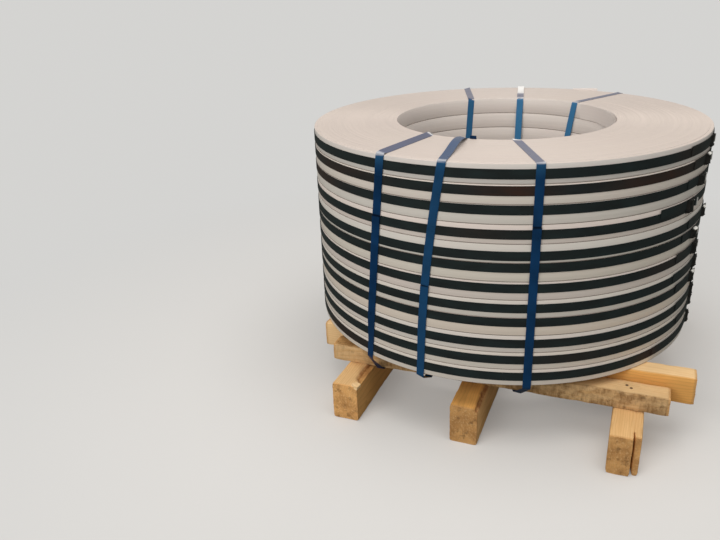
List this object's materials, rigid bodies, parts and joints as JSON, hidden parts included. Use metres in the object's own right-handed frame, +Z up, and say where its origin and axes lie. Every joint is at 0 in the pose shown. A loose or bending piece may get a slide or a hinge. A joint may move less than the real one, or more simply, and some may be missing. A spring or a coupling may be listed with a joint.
{
  "type": "steel coil",
  "caption": "Strapped pack of narrow slit steel coils, stacked with the bore upright and banded one by one, standing on a timber skid.",
  "frame": {"origin": "on the bore's axis, at the level of the floor, in the underside of the skid's middle bearer", "axes": "+Z up along the bore's axis, +X along the skid's cross timbers, and the pictured side faces -Y"},
  "size_m": [0.9261, 0.9072, 0.6178],
  "materials": {
    "coated_strip": "pale pre-coated steel strip, satin, with faint turn lines",
    "black_band": "black-waxed steel band, semi-gloss",
    "seal_steel": "dull galvanised clip, crimped",
    "blue_strap": "deep blue painted steel strap, glossy",
    "sawn_pine": "rough-sawn softwood, weathered ends"
  },
  "bodies": {
    "root": {"slit_coil_01": "coated_strip", "slit_coil_02": "coated_strip", "slit_coil_03": "coated_strip", "slit_coil_04": "coated_strip", "slit_coil_05": "coated_strip", "slit_coil_06": "coated_strip", "slit_coil_07": "coated_strip", "slit_coil_08": "coated_strip", "slit_coil_09": "coated_strip", "slit_coil_10": "coated_strip", "slit_coil_11": "coated_strip", "slit_coil_12": "coated_strip", "coil_band_01": "black_band", "coil_band_02": "black_band", "coil_band_03": "black_band", "coil_band_04": "black_band", "coil_band_05": "black_band", "coil_band_06": "black_band", "coil_band_07": "black_band", "coil_band_08": "black_band", "coil_band_09": "black_band", "coil_band_10": "black_band", "coil_band_11": "black_band", "coil_band_12": "black_band", "band_seal_01": "seal_steel", "band_seal_02": "seal_steel", "band_seal_03": "seal_steel", "band_seal_04": "seal_steel", "band_seal_05": "seal_steel", "band_seal_06": "seal_steel", "band_seal_07": "seal_steel", "band_seal_08": "seal_steel", "band_seal_09": "seal_steel", "band_seal_10": "seal_steel", "band_seal_11": "seal_steel", "band_seal_12": "seal_steel", "bundle_strap_1": "blue_strap", "bundle_strap_2": "blue_strap", "bundle_strap_3": "blue_strap", "bundle_strap_4": "blue_strap", "bundle_strap_5": "blue_strap", "bundle_strap_6": "blue_strap", "bearer_left": "sawn_pine", "bearer_middle": "sawn_pine", "bearer_right": "sawn_pine", "tall_timber_front": "sawn_pine", "tall_timber_back": "sawn_pine", "low_batten_front": "sawn_pine", "low_batten_back": "sawn_pine"}
  },
  "joints": []
}
